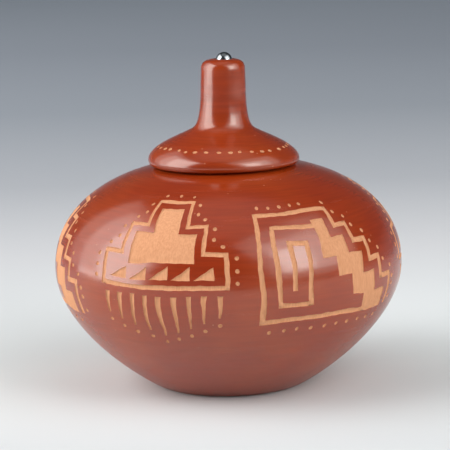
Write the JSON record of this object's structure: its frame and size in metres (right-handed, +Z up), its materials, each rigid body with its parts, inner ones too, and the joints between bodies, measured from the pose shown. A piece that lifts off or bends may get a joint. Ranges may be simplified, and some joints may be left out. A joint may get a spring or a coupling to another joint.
{
  "type": "lidded pottery bowl",
  "caption": "Wide-bellied redware bowl with a small mouth and a lift-off domed lid, whose tall knob carries an inlaid bead.",
  "frame": {"origin": "centre of the flat that the bowl rests on", "axes": "+Z up along the pot's axis; the pictured front faces -Y, with +X to the right"},
  "size_m": [0.105, 0.105, 0.1002],
  "materials": {
    "burnished_red_slip": "stone-burnished red slip, with bare tan clay where it is scratched away",
    "polished_bead": "polished to a dark mirror",
    "bead_cement": "set clear adhesive"
  },
  "bodies": {
    "bowl_body": {"bowl": "burnished_red_slip"},
    "lid_body": {"lid": "burnished_red_slip", "inlaid_bead": "polished_bead", "bead_cement": "bead_cement"}
  },
  "joints": [
    {"name": "lid_lift", "type": "slide", "parent": "bowl_body", "child": "lid_body", "axis": [0, 0, 1], "range_m": [0, 0.08]}
  ]
}
